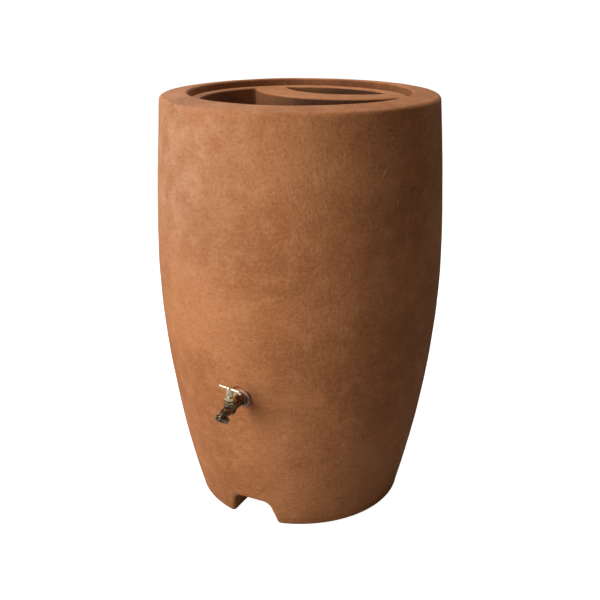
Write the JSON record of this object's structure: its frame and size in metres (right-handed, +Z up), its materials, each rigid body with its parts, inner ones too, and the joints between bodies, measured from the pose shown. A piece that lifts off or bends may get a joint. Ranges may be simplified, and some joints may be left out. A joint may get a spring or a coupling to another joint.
{
  "type": "rain barrel",
  "caption": "Bellied rainwater tank with a drop-in planter top, screened inlet basin, screw-down hose tap, rear overflow tail and a drain plug in a channel under the base.",
  "frame": {"origin": "centre of the base, on the ground", "axes": "+Z up, the tap points along -Y"},
  "size_m": [0.5965, 0.6995, 0.876],
  "materials": {
    "barrel_terracotta": "moulded stone texture, matt",
    "planter_terracotta": "moulded stone texture, matt",
    "screen_plastic": "moulded, satin",
    "screen_wire": "woven stainless wire",
    "tap_brass": "cast, tarnished",
    "handle_brass": "turned, bright",
    "wall_flange_grey": "moulded, matt",
    "seal_rubber": "moulded, matt",
    "valve_rubber": "moulded, matt",
    "bonnet_fibre": "pressed red fibre",
    "gland_packing_white": "waxy white packing",
    "handle_screw_steel": "blackened steel",
    "fitting_plastic": "moulded, satin",
    "plug_plastic": "moulded, satin"
  },
  "bodies": {
    "barrel": {"barrel_shell": "barrel_terracotta", "tap_body": "tap_brass", "tap_bonnet": "tap_brass", "tap_bonnet_washer": "bonnet_fibre", "tap_gland_nut": "handle_brass", "tap_gland_packing": "gland_packing_white", "tap_wall_flange": "wall_flange_grey", "tap_outer_seal": "seal_rubber", "tap_inner_seal": "seal_rubber", "tap_lock_nut": "tap_brass", "overflow_tail": "fitting_plastic", "overflow_seal": "seal_rubber", "overflow_lock_nut": "fitting_plastic", "drain_insert": "tap_brass"},
    "planter": {"planter_top": "planter_terracotta"},
    "screen": {"screen_frame": "screen_plastic", "screen_mesh": "screen_wire", "screen_snap_ring": "screen_plastic"},
    "tap_valve": {"tap_jumper": "tap_brass", "tap_jumper_washer": "valve_rubber", "tap_jumper_nut": "tap_brass"},
    "tap_stem": {"tap_spindle": "tap_brass", "tap_handle_hub": "handle_brass", "tap_handle_bar": "handle_brass", "tap_handle_screw": "handle_screw_steel"},
    "plug_seal": {"drain_plug_seal": "seal_rubber"},
    "plug": {"drain_plug": "plug_plastic"}
  },
  "joints": [
    {"name": "planter_lift", "type": "slide", "parent": "barrel", "child": "planter", "axis": [0, 0, 1], "range_m": [0, 0.18]},
    {"name": "screen_lift", "type": "slide", "parent": "planter", "child": "screen", "axis": [0, 0, 1], "range_m": [0, 0.08]},
    {"name": "valve_rise", "type": "slide", "parent": "barrel", "child": "tap_valve", "axis": [0, 0, 1], "range_m": [0, 0.005]},
    {"name": "stem_turn", "type": "hinge", "parent": "tap_valve", "child": "tap_stem", "pos_m": [0, -0.33, 0.316], "axis": [0, 0, 1], "range_deg": [0, 900]},
    {"name": "plug_back_out", "type": "slide", "parent": "barrel", "child": "plug_seal", "axis": [-0.0436, -0.999, 0], "range_m": [0, 0.0116]},
    {"name": "plug_turn", "type": "hinge", "parent": "plug_seal", "child": "plug", "pos_m": [-0.00545, -0.12488, 0.028], "axis": [-0.0436, -0.999, 0], "range_deg": [0, 1800]}
  ],
  "couplings": [
    {"joint": "valve_rise", "follows": "stem_turn", "m_per_rad": 0.0003183},
    {"joint": "plug_back_out", "follows": "plug_turn", "m_per_rad": 0.000366}
  ]
}
